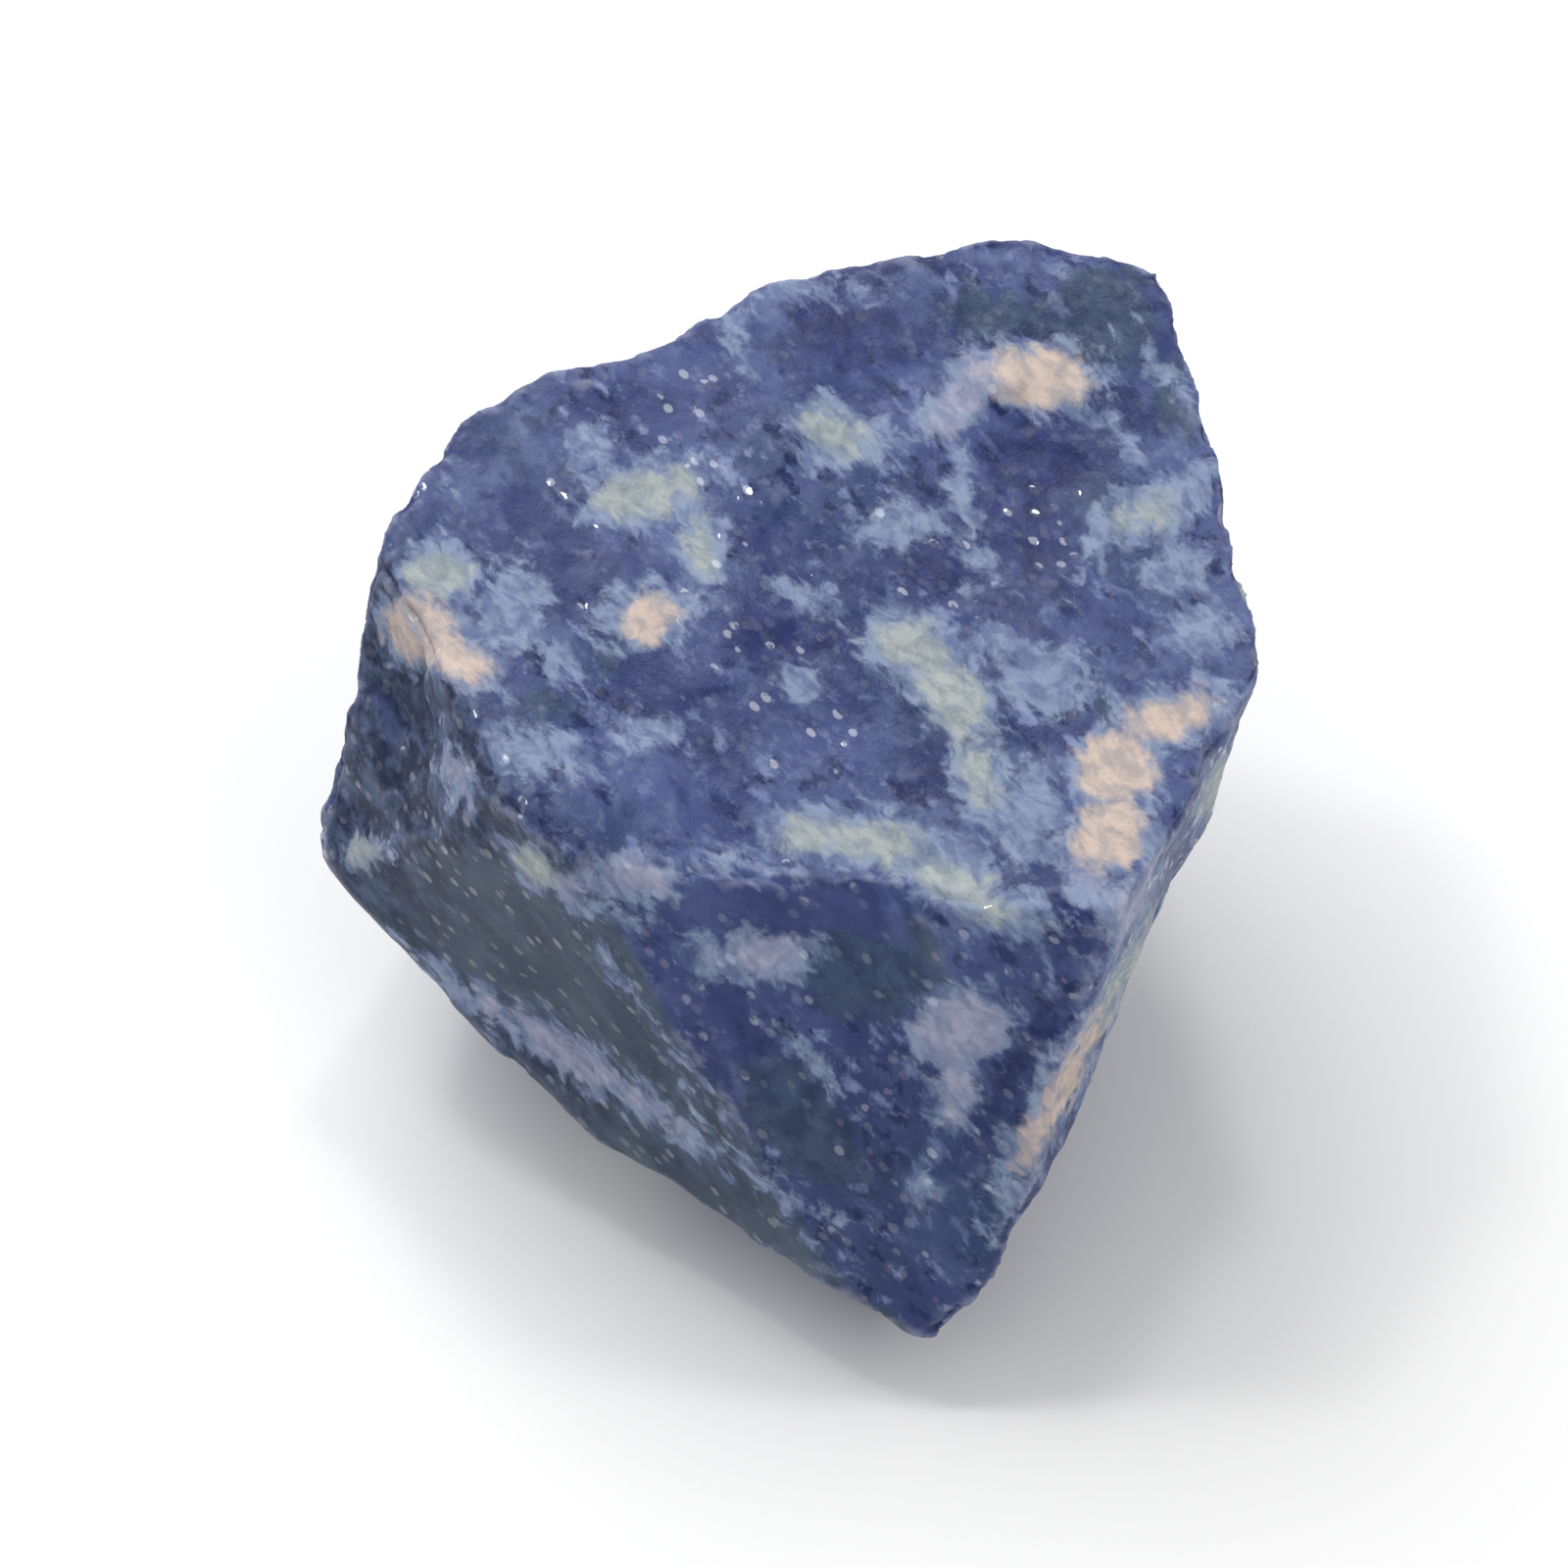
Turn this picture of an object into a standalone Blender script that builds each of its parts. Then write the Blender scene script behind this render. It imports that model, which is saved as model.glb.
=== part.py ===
"""A rough blue stone, broken on every side, about 37 mm across, that rests on a small flat of its own.

The whole stone is one ball of fine triangles. Each point of the ball slides along its own ray from the
heart of the stone until it meets the first fracture face or scoop, and is then raised or sunk along that
face's normal by its waves, ledges and chips.
"""

import math

import bmesh
import bpy
from mathutils import Vector, noise

MM = 0.001

# The stone is described as it looks from the front, from this angle above the table.
LOOK_DOWN_DEG = 50.0

# The heart is the point inside the stone that every face is measured from.
HEART_HEIGHT_MM = 12.5

# Each face has the bearing of its outward normal, anticlockwise from the right as the stone is looked at,
# how far that normal leans towards the eye, and the distance from the heart to the face in millimetres.
FACES = {
    "broad": (92, 61, 8.9),
    "front": (-103, 67, 12.5),
    "front_left": (222, 34, 13.1),
    "left": (190, 38, 14.8),
    "right": (-25, 12, 15.7),
    "back_left": (131, -16, 18.3),
    "back_left_high": (119, -22, 17.0),
    "back": (100, -20, 19.2),
    "back_right": (73, -26, 21.3),
    "right_high": (9, -12, 17.0),
    "right_mid": (2, -18, 15.0),
    "right_low": (-11, -26, 15.7),
    "right_under": (-32, -20, 13.2),
    "tip_under": (245, -12, 15.6),
    "left_under": (224, -22, 13.7),
    "left_end": (159, -18, 16.2),
    "back_foot": (84, -57, 17.2),
    "back_left_foot": (150, -50, 14.6),
    "right_foot": (20, -56, 14.2),
}

# How uneven each kind of face is, in millimetres: slow waves, ledges and small flat chips.
PLAIN_FACE = (0.60, 0.42, 0.30)
UNEVENNESS = {
    "broad": (0.60, 0.22, 0.18),
    "front": (0.45, 0.30, 0.16),
    "front_left": (0.45, 0.12, 0.08),
    "left": (0.50, 0.36, 0.40),
    "right": (0.45, 0.40, 0.20),
}
WAVE_MM = 13.0
LEDGE_MM = 10.0
CHIP_MM = 3.4
JAG_MM = 1.3

# Ledges and chips run down to the right across the stone, and are longer than they are wide.
LEDGE_BEARING_DEG = -52.0
LEDGE_STRETCH = 1.9
LEDGE_LEVELS = 2.6
LEDGE_JAG = 0.22
LEDGE_RISER = 0.30
CHIP_TILT = 1.6
CHIP_RISER = 0.35

# Each face reads its own stretch of the noise, this far from the last one's.
NOISE_STRIDE = Vector((17.3, 5.1, 9.7))

# Ridges are sharp in some places and worn round in others, and the relief of two faces blends across them.
SHARP_RIDGE_MM = 0.25
WORN_RIDGE_MM = 1.6
WEAR_MM = 5.0
BLEND_MM = 1.2

# Shell-shaped scoops: the face, then right and up from the heart to the middle, ball radius and depth.
SCOOPS = [
    ("front", 2.5, -4.6, 11.0, 0.50),
    ("front", 5.0, -12.5, 14.0, 0.35),
    ("front_left", -9.5, -9.0, 14.0, 0.45),
    ("left", -15.3, 2.6, 7.0, 0.55),
    ("back_left_high", -6.0, 16.8, 11.0, 1.10),
    ("right", 10.6, -10.8, 9.0, 0.50),
    ("right_under", 8.3, -16.4, 6.0, 0.90),
    ("right_mid", 17.0, 8.6, 9.0, 0.45),
    ("broad", -6.5, 3.5, 22.0, 0.30),
    ("broad", 9.5, 13.5, 12.0, 0.40),
    ("back", -2.0, 11.0, 12.0, 1.00),
    ("back_right", 8.5, 9.0, 9.0, 0.80),
]

BALL_SUBDIVISIONS = 7
GRAZING = 0.05
KEEP_TRIANGLES = 0.096
BASE_SNAP_MM = 0.02


def picture_axes():
    """Right, up and towards the eye, as world directions."""
    tilt = math.radians(LOOK_DOWN_DEG)
    right = Vector((1.0, 0.0, 0.0))
    up = Vector((0.0, math.sin(tilt), math.cos(tilt)))
    toward = Vector((0.0, -math.cos(tilt), math.sin(tilt)))
    return right, up, toward


RIGHT, UP, TOWARD = picture_axes()


def face_normal(bearing_deg, lean_deg):
    bearing = math.radians(bearing_deg)
    lean = math.radians(lean_deg)
    flat = RIGHT * math.cos(bearing) + UP * math.sin(bearing)
    return flat * math.cos(lean) + TOWARD * math.sin(lean)


def make_planes():
    """Every face as its name, world normal and reach; the resting flat looks straight down."""
    planes = [(name, face_normal(bearing, lean), reach) for name, (bearing, lean, reach) in FACES.items()]
    planes.append(("rest", Vector((0.0, 0.0, -1.0)), HEART_HEIGHT_MM))
    return planes


def make_scoops(planes):
    """The ball centre and radius of each scoop, with the ball standing just outside its face."""
    found = {name: (normal, reach) for name, normal, reach in planes}
    scoops = []
    for face, right_mm, up_mm, radius, depth in SCOOPS:
        normal, reach = found[face]
        flat = RIGHT * right_mm + UP * up_mm
        spot = flat + TOWARD * ((reach - normal.dot(flat)) / normal.dot(TOWARD))
        scoops.append((spot + normal * (radius - depth), radius))
    return scoops


def smooth_step(value):
    value = min(max(value, 0.0), 1.0)
    return value * value * (3.0 - 2.0 * value)


def along_the_run(point):
    """The point in a frame that is squeezed along the run of the ledges."""
    bearing = math.radians(LEDGE_BEARING_DEG)
    run = RIGHT * math.cos(bearing) + UP * math.sin(bearing)
    return point + run * (point.dot(run) * (1.0 / LEDGE_STRETCH - 1.0))


def ledges(point, shift):
    """Broad flat treads with short jagged risers between them."""
    value = LEDGE_LEVELS * noise.noise(along_the_run(point) / LEDGE_MM + shift)
    value += LEDGE_JAG * noise.noise(point / JAG_MM + shift)
    level = math.floor(value)
    return level + smooth_step((value - level - 0.5) / LEDGE_RISER + 0.5)


def chip_height(spot, middle):
    """One small flat chip: its own level and its own tilt, the same wherever it is asked for."""
    own = noise.cell_vector(middle) - Vector((0.5, 0.5, 0.5))
    return own.x + CHIP_TILT * own.dot(spot - middle)


def chips(point, shift):
    """Small flat chips, each tilted its own way, that meet across short risers."""
    spot = along_the_run(point) / CHIP_MM + shift
    distances, middles = noise.voronoi(spot)
    nearest = chip_height(spot, middles[0])
    neighbour = chip_height(spot, middles[1])
    blend = smooth_step((distances[1] - distances[0]) / CHIP_RISER)
    return nearest + (neighbour - nearest) * 0.5 * (1.0 - blend)


def relief(name, shift, point):
    """How far the broken surface stands off its face at a point, in millimetres."""
    wave, ledge, chip = UNEVENNESS.get(name, PLAIN_FACE)
    swell = noise.noise(point / WAVE_MM + shift)
    return wave * swell + ledge * ledges(point, shift) + chip * chips(point, shift)


def distance_to_ball(direction, centre, radius):
    """Where a ray from the heart enters a ball, or None where it misses."""
    along = direction.dot(centre)
    under_root = along * along - centre.length_squared + radius * radius
    if along <= 0.0 or under_root <= 0.0:
        return None
    return along - math.sqrt(under_root)


def round_off(nearest, second, point):
    """Blends the two nearest faces, so that their ridge is worn more in some places than in others."""
    wear = 0.5 + 0.5 * noise.noise(point / WEAR_MM)
    width = SHARP_RIDGE_MM + (WORN_RIDGE_MM - SHARP_RIDGE_MM) * wear ** 3
    overlap = max(width - (second - nearest), 0.0)
    return nearest - overlap * overlap / (4.0 * width)


def point_on_faces(direction, planes, scoops):
    """Where a ray from the heart leaves the plain faces and scoops."""
    hits = []
    for name, normal, reach in planes:
        facing = normal.dot(direction)
        if facing > GRAZING:
            hits.append((reach / facing, name))
    hits.sort()
    hit, name = hits[0]
    if name != "rest":
        hit = round_off(hit, hits[1][0], direction * hit)
    for centre, radius in scoops:
        bite = distance_to_ball(direction, centre, radius)
        if bite is not None:
            hit = min(hit, bite)
    return direction * hit


def broken_offset(point, planes):
    """The relief of each face that is near, along its own normal, weighted by how near it is."""
    offset = Vector((0.0, 0.0, 0.0))
    total = 0.0
    resting = False
    for index, (name, normal, reach) in enumerate(planes):
        gap = reach - normal.dot(point)
        if gap < BLEND_MM:
            weight = (1.0 - gap / BLEND_MM) ** 2
            total += weight
            if name == "rest":
                resting = True
            else:
                offset += normal * (weight * relief(name, NOISE_STRIDE * index, point))
    if resting:
        offset.z = 0.0
    return offset / total if total > 0.0 else offset


def make_stone(collection):
    planes = make_planes()
    scoops = make_scoops(planes)
    heart = Vector((0.0, 0.0, HEART_HEIGHT_MM))
    ball = bmesh.new()
    bmesh.ops.create_icosphere(ball, subdivisions=BALL_SUBDIVISIONS, radius=1.0)
    for vert in ball.verts:
        point = point_on_faces(vert.co.normalized(), planes, scoops)
        vert.co = (heart + point + broken_offset(point, planes)) * MM
    mesh = bpy.data.meshes.new("stone")
    ball.to_mesh(mesh)
    ball.free()
    stone = bpy.data.objects.new("stone", mesh)
    collection.objects.link(stone)
    return stone


def thin_out(stone):
    """Keeps few triangles on the flats and many along the ridges and ledges."""
    decimate = stone.modifiers.new("thin_out", "DECIMATE")
    decimate.ratio = KEEP_TRIANGLES
    graph = bpy.context.evaluated_depsgraph_get()
    thinned = bpy.data.meshes.new_from_object(stone.evaluated_get(graph))
    stone.modifiers.clear()
    fine = stone.data
    stone.data = thinned
    bpy.data.meshes.remove(fine)
    thinned.name = "stone"


def settle(stone):
    """Makes the resting flat truly flat and puts the origin under the middle of the stone."""
    verts = stone.data.vertices
    for vert in verts:
        if vert.co.z < BASE_SNAP_MM * MM:
            vert.co.z = 0.0
    middle = [
        (min(v.co[axis] for v in verts) + max(v.co[axis] for v in verts)) / 2.0 for axis in (0, 1)
    ]
    for vert in verts:
        vert.co.x -= middle[0]
        vert.co.y -= middle[1]


def blue_stone_material():
    material = bpy.data.materials.new("blue_stone")
    material.use_nodes = True
    surface = material.node_tree.nodes["Principled BSDF"]
    surface.inputs["Base Color"].default_value = (0.075, 0.105, 0.26, 1.0)
    surface.inputs["Roughness"].default_value = 0.42
    surface.inputs["Metallic"].default_value = 0.0
    return material


def main():
    for obj in list(bpy.data.objects):
        bpy.data.objects.remove(obj)
    collection = bpy.data.collections.new("rough_blue_stone")
    bpy.context.scene.collection.children.link(collection)
    stone = make_stone(collection)
    thin_out(stone)
    settle(stone)
    stone.data.materials.append(blue_stone_material())
    size = stone.dimensions / MM
    print(f"stone: {len(stone.data.polygons)} triangles, {size.x:.1f} x {size.y:.1f} x {size.z:.1f} mm")


main()
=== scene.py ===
# %% [markdown]
# # Dressing a rough blue stone
#
# The stone is one broken lump of rock, about as big as a walnut. Its plain solid
# comes with the frame: every fracture face, scoop and ledge is in it already, down
# to about a millimetre. It lacks what the eye finds from close by, which is the
# fine breakage of the surface and the clouded colours of the rock. So this lesson
# keeps the solid as its measure and grows a finer stone in the same place.

# %% Load the solid
import math

import bmesh
import bpy
import numpy as np
from mathutils import Matrix, Vector, noise
from mathutils.bvhtree import BVHTree


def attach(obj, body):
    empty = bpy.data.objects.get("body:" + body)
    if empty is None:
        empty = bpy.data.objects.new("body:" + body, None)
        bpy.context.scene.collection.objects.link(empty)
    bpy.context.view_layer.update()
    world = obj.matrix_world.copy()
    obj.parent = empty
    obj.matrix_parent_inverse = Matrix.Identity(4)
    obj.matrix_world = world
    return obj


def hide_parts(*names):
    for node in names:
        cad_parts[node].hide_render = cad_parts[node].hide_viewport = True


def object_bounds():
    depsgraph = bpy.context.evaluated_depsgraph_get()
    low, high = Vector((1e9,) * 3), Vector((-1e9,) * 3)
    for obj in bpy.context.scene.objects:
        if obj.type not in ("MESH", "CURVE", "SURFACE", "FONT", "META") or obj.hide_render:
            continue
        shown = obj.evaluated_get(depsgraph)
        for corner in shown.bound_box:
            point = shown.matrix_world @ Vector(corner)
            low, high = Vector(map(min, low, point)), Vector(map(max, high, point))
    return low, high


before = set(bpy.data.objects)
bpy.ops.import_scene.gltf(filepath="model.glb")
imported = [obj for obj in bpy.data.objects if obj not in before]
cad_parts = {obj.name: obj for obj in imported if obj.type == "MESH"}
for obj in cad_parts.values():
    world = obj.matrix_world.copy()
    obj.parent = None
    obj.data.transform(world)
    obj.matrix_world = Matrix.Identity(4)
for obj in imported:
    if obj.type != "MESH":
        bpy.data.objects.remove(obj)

MM = 0.001
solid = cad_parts["stone"]
cad_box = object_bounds()
size_mm = (cad_box[1] - cad_box[0]) / MM
print("solid: {} triangles, {:.1f} x {:.1f} x {:.1f} mm".format(len(solid.data.polygons), *size_mm))

# %% [markdown]
# ## The directions of the picture
#
# The photograph looks down on the stone at about fifty degrees. Places on the
# stone are easiest to find in that picture, so many numbers below are millimetres
# to the right and up from the middle of the stone's outline, as the eye sees it.
# Three unit vectors turn such a place into a point of the model.

# %% Name right, up and toward the eye
LOOK_DOWN_DEG = 50.0
look_down = math.radians(LOOK_DOWN_DEG)
RIGHT = Vector((1.0, 0.0, 0.0))
UP = Vector((0.0, math.sin(look_down), math.cos(look_down)))
TOWARD = Vector((0.0, -math.cos(look_down), math.sin(look_down)))


def middle_and_span(mesh):
    """The middle of a mesh in the picture's three directions, and how far it reaches in each."""
    middle = Vector((0.0, 0.0, 0.0))
    spans = []
    for axis in (RIGHT, UP, TOWARD):
        along = [vert.co.dot(axis) for vert in mesh.vertices]
        middle += axis * (min(along) + max(along)) / 2.0
        spans.append(max(along) - min(along))
    return middle, spans


MIDDLE, SPANS = middle_and_span(solid.data)
print("outline in the picture: {:.1f} mm wide, {:.1f} mm tall".format(SPANS[0] / MM, SPANS[1] / MM))

# %% [markdown]
# ## The camera
#
# A stone this small is photographed from many times its own size away, so its far
# side looks hardly smaller than its near side. A long lens from half a metre does
# the same. The stone fills about two thirds of the square frame.

# %% Set up the camera
LENS_MM = 250.0
SENSOR_MM = 36.0
FRAME_FILLED = 0.70

camera_data = bpy.data.cameras.new("camera")
camera_data.lens = LENS_MM
camera_data.sensor_width = SENSOR_MM
camera = bpy.data.objects.new("camera", camera_data)
bpy.context.scene.collection.objects.link(camera)
distance = SPANS[1] / FRAME_FILLED * LENS_MM / SENSOR_MM
camera.location = MIDDLE + TOWARD * distance
camera.rotation_mode = "QUATERNION"
camera.rotation_quaternion = (-TOWARD).to_track_quat("-Z", "Y")
bpy.context.scene.camera = camera
print(f"camera: {distance / MM:.0f} mm from the stone")

# %% [markdown]
# ## Floor and light
#
# The stone lies on plain white, under light so soft that its shadow has no edge.
# A white world gives that light from all round. One broad lamp above and a weaker
# one in front shape the faces, and two small lamps are there for the glints: a
# cleavage flake shines only where it mirrors a lamp.

# %% Lay the floor
FLOOR_REACH = 3.0
FLOOR_WHITE = 0.86
FLOOR_ROUGHNESS = 0.8


def plain_material(name, colour, roughness):
    material = bpy.data.materials.new(name)
    material.use_nodes = True
    surface = material.node_tree.nodes["Principled BSDF"]
    surface.inputs["Base Color"].default_value = (*colour, 1.0)
    surface.inputs["Roughness"].default_value = roughness
    return material


floor_mesh = bpy.data.meshes.new("floor")
sheet = bmesh.new()
bmesh.ops.create_grid(sheet, x_segments=1, y_segments=1, size=FLOOR_REACH)
sheet.to_mesh(floor_mesh)
sheet.free()
floor = bpy.data.objects.new("floor", floor_mesh)
floor_mesh.materials.append(plain_material("pale_floor", (FLOOR_WHITE,) * 3, FLOOR_ROUGHNESS))
bpy.context.scene.collection.objects.link(floor)
print(f"floor: {2.0 * FLOOR_REACH:.0f} m across")

# %% Light the stone
SKY_STRENGTH = 0.66
# Each lamp has its bearing and height in degrees, its distance and width in metres, and its watts.
LAMPS = {
    "broad_lamp": (120.0, 50.0, 0.70, 0.45, 2.6),
    "front_lamp": (-50.0, 30.0, 0.80, 0.40, 0.8),
    "left_glint_lamp": (140.0, 58.0, 0.60, 0.07, 0.40),
    "back_glint_lamp": (85.0, 66.0, 0.60, 0.07, 0.40),
}


def set_world(strength):
    world = bpy.data.worlds.new("white_world")
    world.use_nodes = True
    sky = world.node_tree.nodes["Background"]
    sky.inputs["Color"].default_value = (1.0, 1.0, 1.0, 1.0)
    sky.inputs["Strength"].default_value = strength
    bpy.context.scene.world = world


def add_lamp(name, bearing_deg, height_deg, away, side, watts):
    """A square lamp aimed at the stone, its bearing measured anticlockwise from the right."""
    bearing = math.radians(bearing_deg)
    height = math.radians(height_deg)
    flat = math.cos(height)
    aim = Vector((math.cos(bearing) * flat, math.sin(bearing) * flat, math.sin(height)))
    lamp_data = bpy.data.lights.new(name, "AREA")
    lamp_data.size = side
    lamp_data.energy = watts
    lamp = bpy.data.objects.new(name, lamp_data)
    lamp.location = MIDDLE + aim * away
    lamp.rotation_mode = "QUATERNION"
    lamp.rotation_quaternion = aim.to_track_quat("Z", "Y")
    bpy.context.scene.collection.objects.link(lamp)


set_world(SKY_STRENGTH)
for name, (bearing_deg, height_deg, away, side, watts) in LAMPS.items():
    add_lamp(name, bearing_deg, height_deg, away, side, watts)
bpy.context.scene.view_settings.view_transform = "Standard"
print("lamps:", ", ".join(LAMPS))

# %% [markdown]
# ## A finer mesh
#
# The solid has long thin triangles on its flats, which can't carry fine breakage.
# Subdivision rounds off its facets, while edges that turn sharply are creased, so
# the ridges stay. Then a voxel remesh lays an even net over everything, fine
# enough for relief of a third of a millimetre.

# %% Copy the solid and give it an even net
SAME_POINT = 1e-7
SOFT_TURN_DEG = 16.0
HARD_TURN_DEG = 42.0
SUBDIVISIONS = 2
NET_MM = 0.17


def smooth_step(value, low, high):
    """0 below low, 1 above high, with a smooth rise between; for numbers and for arrays."""
    share = np.clip((value - low) / (high - low), 0.0, 1.0)
    return share * share * (3.0 - 2.0 * share)


def creased_copy(source):
    """The solid's mesh with its points welded and its sharp edges creased."""
    cage = bmesh.new()
    cage.from_mesh(source)
    bmesh.ops.remove_doubles(cage, verts=cage.verts, dist=SAME_POINT)
    crease = cage.edges.layers.float.new("crease_edge")
    for edge in cage.edges:
        turn = math.degrees(edge.calc_face_angle(0.0))
        edge[crease] = float(smooth_step(turn, SOFT_TURN_DEG, HARD_TURN_DEG))
    mesh = bpy.data.meshes.new("rough_stone")
    cage.to_mesh(mesh)
    cage.free()
    return mesh


def apply_modifiers(obj):
    """Replaces an object's mesh with the one its modifiers make."""
    graph = bpy.context.evaluated_depsgraph_get()
    made = bpy.data.meshes.new_from_object(obj.evaluated_get(graph))
    obj.modifiers.clear()
    old = obj.data
    obj.data = made
    bpy.data.meshes.remove(old)


stone = bpy.data.objects.new("rough_stone", creased_copy(solid.data))
stone.data.materials.clear()
bpy.context.scene.collection.objects.link(stone)
rounding = stone.modifiers.new("rounding", "SUBSURF")
rounding.levels = SUBDIVISIONS
net = stone.modifiers.new("net", "REMESH")
net.mode = "VOXEL"
net.voxel_size = NET_MM * MM
apply_modifiers(stone)
print(f"net: {len(stone.data.vertices)} points")

# %% [markdown]
# ## Reading the mesh as arrays
#
# From here on each step works on all points at once. Three arrays are enough: the
# places of the points in millimetres, their normals, and the pairs of points that
# an edge joins. The pairs let a value spread to its neighbours, which is how the
# script learns where the ridges are: there, a point stands proud of the points
# around it.

# %% Measure how proud each point stands
RIDGE_REACH = 6


def points_mm(mesh):
    flat = np.empty(len(mesh.vertices) * 3)
    mesh.vertices.foreach_get("co", flat)
    return flat.reshape(-1, 3) / MM


def normals_of(mesh):
    flat = np.empty(len(mesh.vertices) * 3)
    mesh.vertices.foreach_get("normal", flat)
    return flat.reshape(-1, 3)


def edges_of(mesh):
    flat = np.empty(len(mesh.edges) * 2, dtype=np.int64)
    mesh.edges.foreach_get("vertices", flat)
    return flat.reshape(-1, 2)


def spread(values, edges, times):
    """Averages each point's value with its neighbours', several times over."""
    count = len(values)
    ends = np.concatenate([edges[:, 0], edges[:, 1]])
    others = np.concatenate([edges[:, 1], edges[:, 0]])
    joined = np.bincount(ends, minlength=count) + 1.0
    values = values.reshape(count, -1)
    for _ in range(times):
        columns = [np.bincount(ends, values[others, k], count) for k in range(values.shape[1])]
        values = (np.stack(columns, axis=1) + values) / joined[:, None]
    return values


def proudness(points, normals, edges, times):
    """How far each point stands out of its surroundings, in millimetres: above 0 on a ridge."""
    around = spread(points, edges, times)
    return np.einsum("ij,ij->i", points - around, normals)


points = points_mm(stone.data)
edges = edges_of(stone.data)
normals = spread(normals_of(stone.data), edges, RIDGE_REACH)
normals /= np.linalg.norm(normals, axis=1)[:, None]
ridge = proudness(points, normals, edges, 4 * RIDGE_REACH)
print("proudest point: {:.2f} mm, deepest {:.2f} mm".format(ridge.max(), ridge.min()))

# %% [markdown]
# ## Fine breakage
#
# This rock breaks grain by grain. Each grain leaves a small flat of its own slant,
# and the flats meet across short risers. One way to carve that is by hand with a
# brush. Cells do it evenly: each point finds the nearest cell middle and takes the
# height and slant of that cell's flat. Two sizes of flats, some fine grain and the
# bites along the ridges are all sunk into the stone, so it never outgrows its solid.

# %% Find the smooth and the hackly faces
RUN_BEARING_DEG = -52.0
RUN_STRETCH = 1.7
# Two faces, each as its bearing in the picture and its lean towards the eye.
WAXY_FACE = (222, 34)
HACKLY_FACE = (190, 38)
FACE_EDGE_DEG, FACE_HEART_DEG = 32.0, 16.0
WAXY_CALM, HACKLY_GAIN = 0.75, 0.7


def face_normal(bearing_deg, lean_deg):
    """A face's normal from its bearing in the picture and how far it leans towards the eye."""
    bearing = math.radians(bearing_deg)
    lean = math.radians(lean_deg)
    flat = RIGHT * math.cos(bearing) + UP * math.sin(bearing)
    return flat * math.cos(lean) + TOWARD * math.sin(lean)


def share_of_face(face):
    """1 where the surface lies along a face, falling to 0 where it turns away from it."""
    alike = normals @ np.array(face_normal(*face))
    return smooth_step(alike, math.cos(math.radians(FACE_EDGE_DEG)), math.cos(math.radians(FACE_HEART_DEG)))


waxy = share_of_face(WAXY_FACE)
hackly = share_of_face(HACKLY_FACE)
coarseness = 1.0 - WAXY_CALM * waxy + HACKLY_GAIN * hackly * (1.0 - waxy)
print("smooth face: {:.0%} of the points, hackly face: {:.0%}".format(waxy.mean(), hackly.mean()))

# %% Sink the flats, the grain and the bites
FLAT_MM = 1.15
SMALL_FLAT_MM = 0.52
GRAIN_MM = 0.34
BITE_MM = 1.6
SWELL_MM = 6.0
FLAT_DEPTH, SMALL_FLAT_DEPTH, GRAIN_DEPTH, BITE_DEPTH = 0.15, 0.06, 0.03, 0.30
CALMEST, SWELL_GAIN = 0.55, 0.9
FLAT_SLANT = 1.5
RISER = 0.25
BITE_START, BITE_FULL = 0.42, 0.75
RIDGE_START, RIDGE_FULL = 0.03, 0.14

run_bearing = math.radians(RUN_BEARING_DEG)
RUN = RIGHT * math.cos(run_bearing) + UP * math.sin(run_bearing)


def along_the_run(places):
    """Places squeezed along the run of the breakage, so that what is made there comes out long."""
    run = np.array(RUN)
    return places + np.outer(places @ run, run) * (1.0 / RUN_STRETCH - 1.0)


def flats(places, cell_mm, salt):
    """Heights, about 0 to 1, of small slanted flats with short risers; the salt picks the cells."""
    heights = np.empty(len(places))
    half = Vector((0.5, 0.5, 0.5))
    for index, place in enumerate(places / cell_mm + salt):
        spot = Vector(place)
        gaps, middles = noise.voronoi(spot)
        levels = []
        for middle in middles[:2]:
            own = noise.cell_vector(middle) - half
            levels.append(own.x + FLAT_SLANT * own.dot(spot - middle))
        share = min((gaps[1] - gaps[0]) / RISER, 1.0)
        heights[index] = levels[0] + (levels[1] - levels[0]) * 0.5 * (1.0 - share)
    return 0.5 + 0.6 * heights


def cloud(places, size_mm, salt):
    """Smooth noise, about 0 to 1, at every place."""
    scaled = places / size_mm + salt
    return 0.5 + 0.6 * np.array([noise.noise(Vector(place)) for place in scaled])


squeezed = along_the_run(points)
depth = FLAT_DEPTH * (1.0 - flats(squeezed, FLAT_MM, salt=3.7))
depth += SMALL_FLAT_DEPTH * (1.0 - flats(squeezed, SMALL_FLAT_MM, salt=11.3))
depth += GRAIN_DEPTH * cloud(points, GRAIN_MM, salt=5.9)
depth *= coarseness * (CALMEST + SWELL_GAIN * cloud(points, SWELL_MM, salt=21.1))
bites = smooth_step(cloud(points, BITE_MM, salt=8.3), BITE_START, BITE_FULL)
depth += BITE_DEPTH * bites * smooth_step(ridge, RIDGE_START, RIDGE_FULL)
print("breakage: {:.2f} mm deep on average, {:.2f} mm at most".format(depth.mean(), depth.max()))

# %% [markdown]
# ## Back into the box
#
# The sunk points go back into the mesh. The resting flat must stay flat, so depth
# fades out towards the floor, and every point is kept inside the solid's box. A
# decimation then thins the net where it says nothing, which keeps the mesh light.

# %% Write the breakage into the mesh
FLOOR_FADE_MM = 0.5
KEPT_SHARE = 0.46


def put_points(mesh, places_mm):
    mesh.vertices.foreach_set("co", (places_mm * MM).ravel())
    mesh.update()


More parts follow.
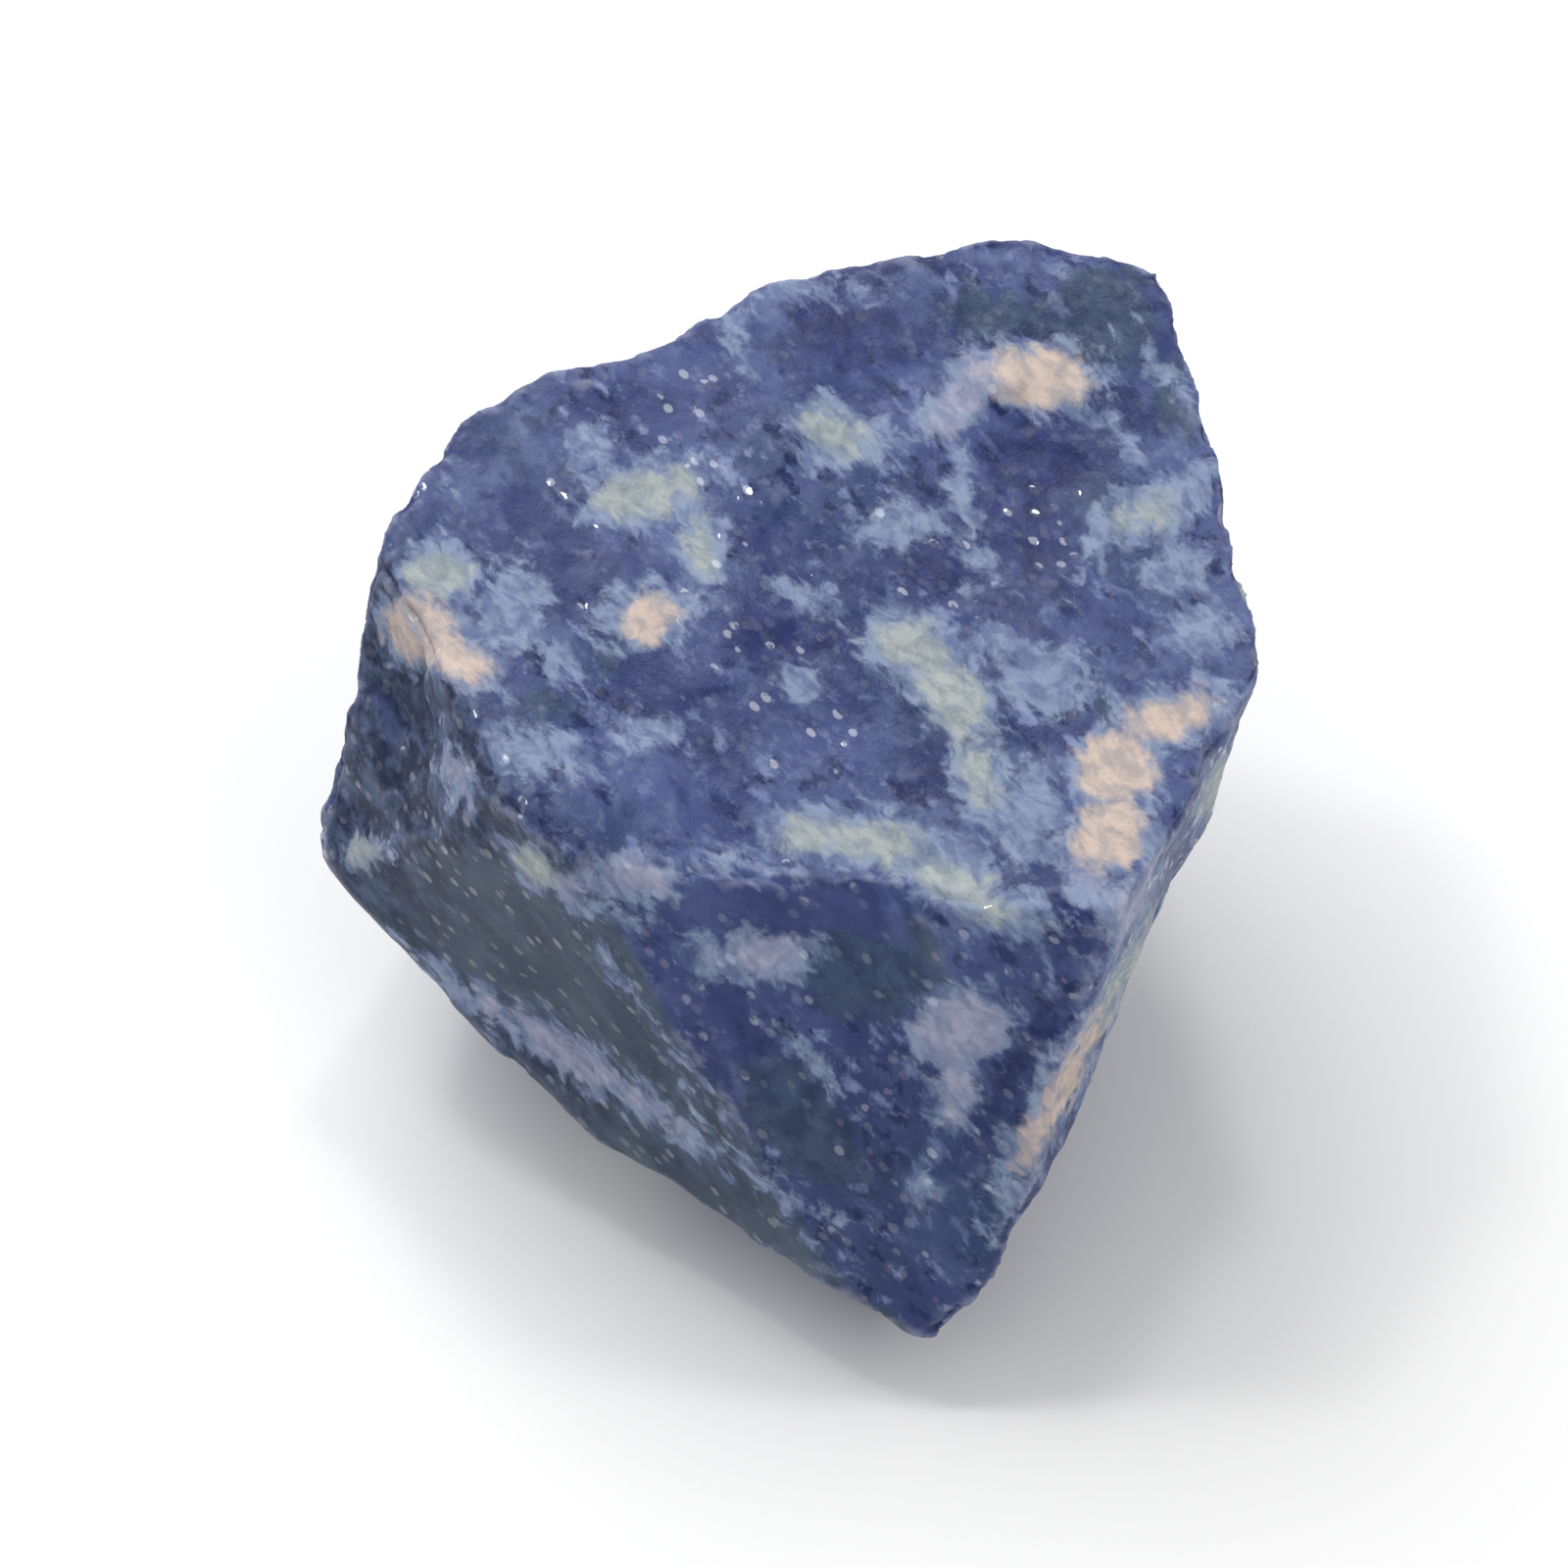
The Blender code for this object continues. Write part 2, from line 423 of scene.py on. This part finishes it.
above_floor = smooth_step(points[:, 2], 0.0, FLOOR_FADE_MM)
points -= normals * (depth * above_floor)[:, None]
points = np.clip(points, np.array(cad_box[0]) / MM, np.array(cad_box[1]) / MM)
put_points(stone.data, points)
thinning = stone.modifiers.new("thinning", "DECIMATE")
thinning.ratio = KEPT_SHARE
apply_modifiers(stone)
stone.data.shade_smooth()
print(f"stone: {len(stone.data.polygons)} triangles")

# %% [markdown]
# ## Where the colours lie
#
# The blue is sodalite. Paler minerals grew through it: cream and grey-green clouds,
# peach feldspar, a lilac haze, and slate where it is dark. These are colours of the
# rock itself, so they aren't raised. Each cloud is a soft egg-shaped body centred
# on the surface. A point's value for a family is how deep it lies in the nearest
# egg of that family, in millimetres, and below zero outside. The finish then frays
# the eggs, so none ever shows its outline. Two more families say where the blue is
# calm, without flecks, and where the rock sparkles.

# %% List the clouds that the picture shows
# Each row is right and up in the picture, half the length, half the width and the turn, in mm and degrees.
CLOUDS = {
    "peach": [
        (9.8, 15.8, 1.9, 1.1, -8),
        (-5.2, 6.4, 1.2, 0.8, 15),
        (-14.2, 5.9, 1.7, 1.2, -15),
        (-12.3, 4.7, 1.1, 0.7, -30),
        (14.8, 2.6, 1.7, 0.8, 15),
        (12.6, 0.6, 1.5, 1.5, 0),
        (12.3, -1.8, 1.5, 1.3, 70),
        (10.6, -11.6, 2.8, 0.5, 62),
    ],
    "cream": [
        (2.0, 13.6, 1.1, 0.8, -20),
        (-5.3, 11.2, 1.8, 0.9, 10),
        (-3.2, 9.2, 1.1, 0.5, -75),
        (-13.2, 8.1, 1.1, 0.8, 0),
        (-15.2, 10.4, 1.3, 0.4, 80),
        (14.0, 10.4, 1.0, 0.7, 35),
        (5.0, 5.2, 1.6, 0.9, -20),
        (6.5, 3.3, 1.6, 1.0, -50),
        (7.4, 0.6, 1.4, 0.7, -75),
        (1.4, -1.9, 1.3, 0.6, 0),
        (3.7, -2.3, 1.7, 0.8, -10),
        (6.5, -3.7, 1.9, 0.7, -30),
        (8.2, -4.8, 1.0, 0.5, -20),
        (-9.5, -3.1, 0.9, 0.6, -30),
        (16.6, -0.2, 1.4, 1.0, 75),
        (13.0, -7.4, 2.2, 0.5, 62),
        (-16.3, -2.6, 0.7, 0.4, 0),
    ],
    "lilac": [
        (6.7, 14.9, 1.3, 0.8, 50),
        (7.8, 15.9, 1.0, 0.8, 0),
        (6.7, -9.3, 1.5, 1.2, 30),
        (6.6, -11.6, 1.0, 0.4, 80),
        (-1.0, -6.5, 1.2, 0.5, 0),
        (-7.9, -10.7, 2.2, 0.45, -30),
        (-5.2, -12.4, 1.6, 0.20, -32),
        (-10.6, -9.2, 1.4, 0.20, -35),
        (-12.6, 0.4, 0.7, 0.35, -70),
        (-8.3, -3.9, 0.6, 0.5, 0),
        (-5.5, -3.5, 0.9, 0.6, 0),
        (13.4, -4.4, 1.5, 0.6, 60),
        (11.6, -3.6, 1.2, 0.25, -45),
    ],
    "pale": [
        (-7.5, 13.1, 1.0, 0.7, 0),
        (-1.9, 17.4, 1.3, 0.4, 100),
        (2.3, 13.3, 2.1, 1.2, -10),
        (6.8, 11.8, 2.4, 0.4, -85),
        (4.4, 10.0, 1.6, 1.0, 0),
        (7.4, 8.7, 1.0, 0.5, -60),
        (0.9, 7.3, 1.4, 0.5, -20),
        (0.7, 3.8, 0.9, 0.7, 90),
        (8.5, 5.4, 1.0, 0.5, -20),
        (10.1, 4.0, 1.8, 1.5, 0),
        (9.2, -1.2, 1.8, 1.3, 60),
        (-10.4, 6.8, 2.1, 1.3, 90),
        (-8.5, 4.6, 1.1, 0.4, -50),
        (-9.3, 1.1, 2.0, 0.9, -10),
        (-5.3, 1.8, 1.4, 0.6, 20),
        (12.0, 9.5, 1.3, 0.5, 70),
        (15.0, 11.0, 1.8, 1.1, 35),
        (15.2, 8.3, 1.3, 1.1, 0),
        (15.9, 6.0, 1.3, 1.2, 0),
        # This thin pale line lies along a ridge: a painted highlight on it.
        (14.5, 16.2, 2.2, 0.2, -45),
        (12.7, 13.8, 1.6, 0.25, -50),
        (-1.2, -2.8, 1.7, 0.4, 0),
        (-7.0, -4.6, 1.2, 0.4, -20),
        (1.2, -10.6, 1.3, 0.3, -50),
        (5.2, -15.2, 0.6, 0.4, -50),
        # This row and the next are a thin pale line along the ridge between the front and the waxy face: a
        # painted highlight on that ridge.
        (-4.4, -9.8, 2.6, 0.18, -53),
        (-1.6, -13.8, 2.4, 0.18, -57),
        (1.0, 19.3, 1.6, 0.4, 0),
    ],
    "slate": [
        (12.4, 18.2, 2.2, 1.9, 90),
        (8.2, 18.3, 1.9, 0.8, 0),
        (14.9, 15.0, 1.6, 0.6, -70),
        (-9.4, 2.9, 1.6, 0.6, 0),
        (-7.0, 4.9, 0.8, 0.5, 0),
        # This row lies under the cream ledge where the surface steps down: partly slate rock, partly
        # painted shade under the ledge.
        (3.1, -7.3, 2.6, 1.6, -15),
        (12.4, 2.8, 0.7, 0.4, 0),
        (0.5, -13.0, 3.0, 1.6, -50),
    ],
    "deep": [
        (2.6, 17.4, 3.0, 1.3, 0),
        (9.8, 12.6, 2.2, 1.6, 0),
        (10.0, 9.0, 2.4, 1.3, -75),
        (13.4, 14.5, 1.5, 0.8, -40),
        (5.7, 8.6, 1.6, 1.1, -50),
        (-0.8, 5.6, 1.5, 1.2, 0),
        (5.5, 0.6, 1.6, 1.0, -30),
        (1.6, 5.9, 1.4, 0.8, -50),
        (9.0, -10.6, 3.4, 0.5, 62),
        # This thin row is painted shade in the notch near the right face.
        (11.7, -4.5, 0.8, 0.2, -45),
    ],
    "calm": [
        (-11.5, 11.8, 3.6, 2.6, 20),
        (2.6, 17.4, 2.6, 1.2, 0),
        (1.0, -6.0, 5.0, 2.6, -15),
        (-4.5, 3.6, 1.8, 1.2, 0),
    ],
    "sparkling": [
        (-3.0, 13.2, 4.0, 2.4, -50),
        (-1.5, 7.0, 4.0, 3.0, -50),
        (5.5, 9.0, 4.0, 2.4, -30),
        (0.5, 2.0, 3.4, 2.2, -20),
        (10.0, 9.5, 3.0, 2.0, -60),
        (-14.0, -1.0, 2.6, 2.0, 90),
    ],
}
print("clouds:", {family: len(rows) for family, rows in CLOUDS.items()})

# %% Find how deep each point lies in its clouds
DEPTH_OF_CLOUD = 1.7
FAR_OUTSIDE = -9.0
START_OUTSIDE = 0.1

surface = BVHTree.FromObject(solid, bpy.context.evaluated_depsgraph_get())


def on_stone(right_mm, up_mm):
    """The point of the solid that the picture shows at a place, in millimetres."""
    start = MIDDLE + RIGHT * (right_mm * MM) + UP * (up_mm * MM) + TOWARD * START_OUTSIDE
    hit = surface.ray_cast(start, -TOWARD)[0]
    if hit is None:
        hit = surface.find_nearest(start - TOWARD * START_OUTSIDE)[0]
    return np.array(hit) / MM


def depth_in_egg(places, row):
    """How deep each place lies in one egg-shaped cloud, in millimetres, and below 0 outside it."""
    right_mm, up_mm, half_length, half_width, turn_deg = row
    turn = math.radians(turn_deg)
    length_axis = RIGHT * math.cos(turn) + UP * math.sin(turn)
    width_axis = UP * math.cos(turn) - RIGHT * math.sin(turn)
    thickness = DEPTH_OF_CLOUD * max(half_length, half_width)
    frame_of_egg = np.array([length_axis / half_length, width_axis / half_width, TOWARD / thickness])
    away = (places - on_stone(right_mm, up_mm)) @ frame_of_egg.T
    return (1.0 - np.linalg.norm(away, axis=1)) * min(half_length, half_width)


def write_value(mesh, name, values):
    attribute = mesh.attributes.new(name, "FLOAT", "POINT")
    attribute.data.foreach_set("value", values.astype(np.float32))


places = points_mm(stone.data)
for family, rows in CLOUDS.items():
    field = np.full(len(places), FAR_OUTSIDE)
    for row in rows:
        field = np.maximum(field, depth_in_egg(places, row))
    write_value(stone.data, family, field)
    print(f"{family}: {(field > 0.0).mean():.1%} of the surface")

# %% Mark the ridges, the dark faces and the hidden sides
RIM_REACH = 5
RIM_START, RIM_FULL = 0.02, 0.09
HIDDEN_FROM, HIDDEN_TO = 0.25, -0.15

edges = edges_of(stone.data)
rim = proudness(places, normals_of(stone.data), edges, RIM_REACH)
# The ridge mark says where a painted highlight is laid later.
write_value(stone.data, "ridge", smooth_step(rim, RIM_START, RIM_FULL))
normals = spread(normals_of(stone.data), edges, RIDGE_REACH)
normals /= np.linalg.norm(normals, axis=1)[:, None]
write_value(stone.data, "waxy", share_of_face(WAXY_FACE))
write_value(stone.data, "dark_side", share_of_face(HACKLY_FACE))
hidden = 1.0 - smooth_step(normals @ np.array(TOWARD), HIDDEN_TO, HIDDEN_FROM)
write_value(stone.data, "hidden", hidden)
print(f"hidden from the picture: {hidden.mean():.0%}")

# %% [markdown]
# ## The finish
#
# The finish is one node tree, read like a recipe: a streaky blue, flecks in it,
# then the clouds, the ridges and the glints. Small helpers keep it short. Each adds
# one node and hands back its output, so that the recipe can be written as plain
# sums. Colours are given as the picture shows them: a helper takes off the veil
# that gloss lays over them, and the brightness of the light.

# %% Write the helpers of the recipe
GLOSS_VEIL = 0.022
LIGHT = 1.12
DARKEST = 0.004

finish = bpy.data.materials.new("blue_stone")
finish.use_nodes = True
tree = finish.node_tree
skin = tree.nodes["Principled BSDF"]


def add_node(kind, inputs, output=0, **settings):
    """Adds a node, sets or links its inputs, and hands back one of its outputs."""
    made = tree.nodes.new(kind)
    for name, value in settings.items():
        setattr(made, name, value)
    for name, value in inputs.items():
        socket = made.inputs[name]
        if isinstance(value, bpy.types.NodeSocket):
            tree.links.new(value, socket)
        else:
            socket.default_value = value
    return made.outputs[output]


def plus(first, second):
    return add_node("ShaderNodeMath", {0: first, 1: second}, operation="ADD")


def times(first, second):
    return add_node("ShaderNodeMath", {0: first, 1: second}, operation="MULTIPLY")


def larger(first, second):
    return add_node("ShaderNodeMath", {0: first, 1: second}, operation="MAXIMUM")


def rise(value, low, high):
    """0 below low and 1 above high, with a smooth rise between."""
    inputs = {"Value": value, "From Min": low, "From Max": high}
    return add_node("ShaderNodeMapRange", inputs, interpolation_type="SMOOTHSTEP")


def painted(under, over, share):
    """One colour laid over another, as thick as the share says."""
    return add_node("ShaderNodeMix", {0: share, 6: under, 7: over}, 2, data_type="RGBA")


def clouded(vector, size_mm, detail=4.0, roughness=0.55, output="Fac"):
    """Noise with lumps of a size, 0 to 1."""
    inputs = {"Vector": vector, "Scale": 1.0 / (size_mm * MM), "Detail": detail, "Roughness": roughness}
    return add_node("ShaderNodeTexNoise", inputs, output)


def moved(vector, offset):
    return add_node("ShaderNodeVectorMath", {0: vector, 1: offset}, operation="ADD")


def stored(name):
    """A value that was written on the mesh."""
    return add_node("ShaderNodeAttribute", {}, "Fac", attribute_name=name)


def tint(red, green, blue):
    """A colour as the picture shows it, 0 to 255, made ready for the shader."""
    ready = []
    for value in (red / 255.0, green / 255.0, blue / 255.0):
        linear = value / 12.92 if value <= 0.04045 else ((value + 0.055) / 1.055) ** 2.4
        ready.append(max((linear - GLOSS_VEIL) / LIGHT, DARKEST))
    return (*ready, 1.0)


# %% [markdown]
# ## The blue
#
# Sodalite isn't one blue. Denim, ultramarine and navy lie in streaks down the run
# of the breakage, with thin steel-blue haze between, and where the rock isn't calm
# it is full of short dark and pale flecks. Plain noise would give round blots, so
# it is read in a place that is squeezed along the run and stirred a little, which
# draws the blots out into wisps.

# %% Mix the blue
STIR_LUMP_MM = 2.4
STIR_REACH_MM = 0.9
DENIM_MM, STEEL_MM, HAZE_MM = 4.5, 6.5, 2.4
STEEL_THICKNESS, HAZE_THICKNESS = 0.7, 0.55
NAVY_TINT, DENIM_TINT = tint(62, 72, 118), tint(80, 92, 140)
STEEL_TINT, HAZE_TINT = tint(60, 76, 110), tint(108, 124, 164)

place = add_node("ShaderNodeTexCoord", {}, "Object")
side = TOWARD.cross(RUN)
run_frame = Matrix((RUN, side, TOWARD)).transposed().to_euler()
streaked = add_node(
    "ShaderNodeMapping",
    {"Vector": place, "Rotation": run_frame, "Scale": (RUN_STRETCH, 1.0, 1.0)},
    vector_type="TEXTURE",
)


def stirred(vector, lump_mm, reach_mm):
    """A place moved about by noise, so that whatever is read there comes out wispy."""
    push = moved(clouded(vector, lump_mm, 3.0, output="Color"), (-0.5, -0.5, -0.5))
    inputs = {0: push, 1: (2.0 * reach_mm * MM,) * 3, 2: vector}
    return add_node("ShaderNodeVectorMath", inputs, operation="MULTIPLY_ADD")


wispy = stirred(streaked, STIR_LUMP_MM, STIR_REACH_MM)
denim = rise(clouded(wispy, DENIM_MM, 3.0), 0.40, 0.62)
blue = painted(NAVY_TINT, DENIM_TINT, denim)
steel = rise(clouded(wispy, STEEL_MM, 4.0), 0.50, 0.66)
blue = painted(blue, STEEL_TINT, times(steel, STEEL_THICKNESS))
haze = rise(clouded(wispy, HAZE_MM, 6.0, 0.62), 0.50, 0.70)
blue = painted(blue, HAZE_TINT, times(haze, HAZE_THICKNESS))

# %% Fleck it
FLECK_MM = 0.75
CALM_LUMP_MM, CALM_GAIN = 2.0, 1.2
CALMED_BY = 0.85
BUSY_LUMP_MM, LEAST_BUSY = 5.0, 0.45
# Each kind of fleck has its colour, how far off its noise is read, where it starts and is full,
# and how thick it lies.
FLECKS = {
    "dark": (tint(44, 54, 94), (0.0, 0.0, 0.0), 0.50, 0.66, 0.85),
    "pale": (tint(128, 142, 184), (0.0, 0.0, 0.05), 0.54, 0.70, 0.70),
}

calm = rise(plus(stored("calm"), times(clouded(wispy, CALM_LUMP_MM), CALM_GAIN)), 0.2, 1.6)
restless = plus(times(calm, -CALMED_BY), 1.0)
restless = times(restless, plus(rise(clouded(place, BUSY_LUMP_MM, 2.0), 0.35, 0.65), LEAST_BUSY))
for fleck_tint, shift, start, full, thickness in FLECKS.values():
    flecks = rise(clouded(moved(streaked, shift), FLECK_MM, 4.0, 0.60), start, full)
    blue = painted(blue, fleck_tint, times(times(flecks, restless), thickness))
print("flecks:", ", ".join(FLECKS))

# %% [markdown]
# ## The clouds
#
# Each family of clouds is laid over the blue in turn, the dark ones first. Its
# stored depth is frayed with fine noise before it becomes a thickness. A pale
# fringe goes with every cream, lilac and peach cloud. On the sides that the picture
# doesn't show, broad noise scatters the same families by chance, so the stone looks
# alike all round.

# %% Lay the clouds over the blue
# Each family has a light and a dark tone, how thick it lies, how far its skin frays in mm and
# how much of the hidden sides it covers.
FINISHES = {
    "deep": (tint(58, 68, 118), tint(44, 52, 92), 0.80, 0.7, 0.30),
    "slate": (tint(74, 90, 114), tint(56, 70, 94), 0.80, 0.8, 0.30),
    "pale": (tint(150, 166, 194), tint(108, 124, 160), 0.85, 0.9, 0.30),
    "lilac": (tint(176, 176, 198), tint(140, 146, 174), 0.85, 0.6, 0.16),
    "cream": (tint(180, 186, 184), tint(142, 154, 160), 0.92, 0.6, 0.24),
    "peach": (tint(222, 200, 184), tint(182, 172, 168), 0.92, 0.5, 0.14),
}
FRINGED = ("cream", "lilac", "peach")
FRINGE_MM = 0.45
FRAY_LUMP_MM, FRAY_GAIN = 0.8, 4.0
EDGE_SOFTNESS_MM = 0.35
TONE_LUMP_MM, TONE_START, TONE_FULL = 0.7, 0.36, 0.62
CHANCE_MM = 5.0
CHANCE_STEP_MM = 31.0
CHANCE_GAIN_MM = 6.0
CHANCE_START, CHANCE_PER_SHARE = 0.70, 0.25
DARK_FAMILIES = ("deep", "slate")

hidden_share = stored("hidden")
colour = blue
clouds_share = 0.0
for number, (family, (light, dark, thickness, fray, chance)) in enumerate(FINISHES.items()):
    own_place = moved(wispy, (number * CHANCE_STEP_MM * MM, 0.0, 0.0))
    frayed = times(plus(clouded(own_place, FRAY_LUMP_MM, 6.0, 0.62), -0.5), FRAY_GAIN * fray)
    depth_there = stored(family)
    if family == "pale":
        for fringed in FRINGED:
            depth_there = larger(depth_there, plus(stored(fringed), FRINGE_MM))
    shown = rise(plus(depth_there, frayed), -EDGE_SOFTNESS_MM, EDGE_SOFTNESS_MM)
    by_chance = plus(clouded(own_place, CHANCE_MM, 2.0), CHANCE_PER_SHARE * chance - CHANCE_START)
    by_chance = plus(times(by_chance, CHANCE_GAIN_MM), frayed)
    scattered = rise(by_chance, -EDGE_SOFTNESS_MM, EDGE_SOFTNESS_MM)
    share = larger(shown, times(scattered, hidden_share))
    tone = painted(dark, light, rise(clouded(own_place, TONE_LUMP_MM, 5.0, 0.6), TONE_START, TONE_FULL))
    colour = painted(colour, tone, times(share, thickness))
    if family not in DARK_FAMILIES:
        clouds_share = larger(clouds_share, share)
print("families of clouds:", ", ".join(FINISHES))

# %% [markdown]
# ## Dark faces, painted shade and painted highlights on the ridges
#
# Two faces are darker: the hackly left end is of darker rock, and the waxy face beside
# the front is partly darker rock and partly painted shade. Thin ridges let light through,
# so they look paler than the faces they part; that paleness is a painted highlight.

# %% Darken two faces, with painted shade on the waxy one, and paint highlights on the ridges
FACE_COVER, CLOUDS_CLEAR = 0.95, 0.9
WAXY_LUMP_MM, HACKLY_LUMP_MM, RIDGE_HIGHLIGHT_LUMP_MM = 2.2, 0.8, 1.2
RIDGE_HIGHLIGHT_TINT, RIDGE_HIGHLIGHT_THICKNESS = tint(158, 162, 186), 0.5


def faced(under, face, dark, light, mottling):
    """Lays a face's own dark rock over a colour, but hardly where there are pale clouds; on the waxy face
    it is partly painted shade.
    """
    share = times(stored(face), plus(times(clouds_share, -CLOUDS_CLEAR), FACE_COVER))
    return painted(under, painted(dark, light, mottling), share)


waxy_mottling = rise(clouded(wispy, WAXY_LUMP_MM, 6.0, 0.6), 0.40, 0.64)
# The waxy face is partly darker rock and partly painted shade, as it turns down and away from the light.
colour = faced(colour, "waxy", tint(58, 72, 92), tint(82, 96, 112), waxy_mottling)
hackly_mottling = rise(clouded(streaked, HACKLY_LUMP_MM, 6.0, 0.65), 0.42, 0.66)
colour = faced(colour, "dark_side", tint(40, 52, 76), tint(84, 100, 130), hackly_mottling)
# Painted highlight: a pale colour along the ridges stands in for the light their thin edges let through.
ridge_highlight_share = times(stored("ridge"), rise(clouded(place, RIDGE_HIGHLIGHT_LUMP_MM, 4.0), 0.30, 0.55))
colour = painted(colour, RIDGE_HIGHLIGHT_TINT, times(ridge_highlight_share, RIDGE_HIGHLIGHT_THICKNESS))
print(f"nodes so far: {len(tree.nodes)}")

# %% [markdown]
# ## The glints
#
# A glint is a cleavage flake, a flat mirror about a third of a millimetre long with
# a slant of its own. Painting white dots would look the same from every side. So
# each cell of a fine pattern gets its own slant and a clear coat, and shines only
# where it mirrors one of the lamps.

# %% Scatter the flakes
FLAKE_MM = 0.44
FLAKE_SLANT = 0.75
FLAKE_CORE, CORE_SOFTNESS = 0.36, 0.05
SPARKLE_LUMP_MM, SPARKLE_GAIN = 3.0, 2.0
FEW, MANY = 0.30, 0.75
HAIR = 0.001

cell_inputs = {"Vector": streaked, "Scale": 1.0 / (FLAKE_MM * MM)}
cells = add_node("ShaderNodeTexVoronoi", cell_inputs).node
own = add_node("ShaderNodeSeparateColor", {"Color": cells.outputs["Color"]}, "Red")
sparkling = rise(plus(stored("sparkling"), times(clouded(place, SPARKLE_LUMP_MM), SPARKLE_GAIN)), 0.4, 2.0)
chosen = rise(plus(own, times(sparkling, MANY - FEW)), 1.0 - FEW, 1.0 - FEW + HAIR)
nearness = times(cells.outputs["Distance"], -1.0)
core = rise(nearness, -FLAKE_CORE - CORE_SOFTNESS, -FLAKE_CORE + CORE_SOFTNESS)
flake = times(chosen, core)
print(f"flakes: cells of {FLAKE_MM} mm, {FEW:.0%} to {MANY:.0%} of them with a flake")

# %% [markdown]
# ## Gloss
#
# A broken face is waxy: neither matt nor polished. The blue is smoother than the
# pale clouds, and fine bumps keep the gloss from lying in one sheet.

# %% Finish the surface
BUMP_MM = 0.05
BUMP_LUMP_MM, FINE_BUMP_LUMP_MM, FINE_BUMP_SHARE = 0.30, 0.12, 0.4
BLUE_ROUGHNESS, CLOUDS_ROUGHER = 0.42, 0.14
ROUGHNESS_LUMP_MM, ROUGHNESS_SWING = 0.9, 0.25

fine_bumps = times(clouded(place, FINE_BUMP_LUMP_MM, 3.0), FINE_BUMP_SHARE)
bumps = plus(clouded(streaked, BUMP_LUMP_MM, 5.0, 0.65), fine_bumps)
bumped = add_node("ShaderNodeBump", {"Strength": 1.0, "Distance": BUMP_MM * MM, "Height": bumps})
slant = moved(cells.outputs["Color"], (-0.5, -0.5, -0.5))
slant = add_node("ShaderNodeVectorMath", {0: slant, "Scale": FLAKE_SLANT}, operation="SCALE")
smooth_normal = add_node("ShaderNodeNewGeometry", {}, "Normal")
slanted = add_node("ShaderNodeVectorMath", {0: smooth_normal, 1: slant}, operation="ADD")
slanted = add_node("ShaderNodeVectorMath", {0: slanted}, operation="NORMALIZE")
roughness = plus(BLUE_ROUGHNESS, times(clouds_share, CLOUDS_ROUGHER))
unevenness = plus(clouded(wispy, ROUGHNESS_LUMP_MM, 4.0), -0.5)
roughness = plus(roughness, times(unevenness, ROUGHNESS_SWING))
tree.links.new(colour, skin.inputs["Base Color"])
tree.links.new(roughness, skin.inputs["Roughness"])
tree.links.new(bumped, skin.inputs["Normal"])
tree.links.new(flake, skin.inputs["Coat Weight"])
tree.links.new(slanted, skin.inputs["Coat Normal"])
skin.inputs["Coat Roughness"].default_value = 0.06
skin.inputs["Coat IOR"].default_value = 1.6
skin.inputs["IOR"].default_value = 1.48
skin.inputs["Specular IOR Level"].default_value = 0.3
skin.inputs["Subsurface Weight"].default_value = 0.10
skin.inputs["Subsurface Radius"].default_value = (0.8, 0.9, 1.2)
skin.inputs["Subsurface Scale"].default_value = MM
stone.data.materials.clear()
stone.data.materials.append(finish)
print(f"finish: {len(tree.nodes)} nodes")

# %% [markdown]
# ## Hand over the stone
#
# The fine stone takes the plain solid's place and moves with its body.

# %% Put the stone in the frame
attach(stone, "root")
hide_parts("stone")
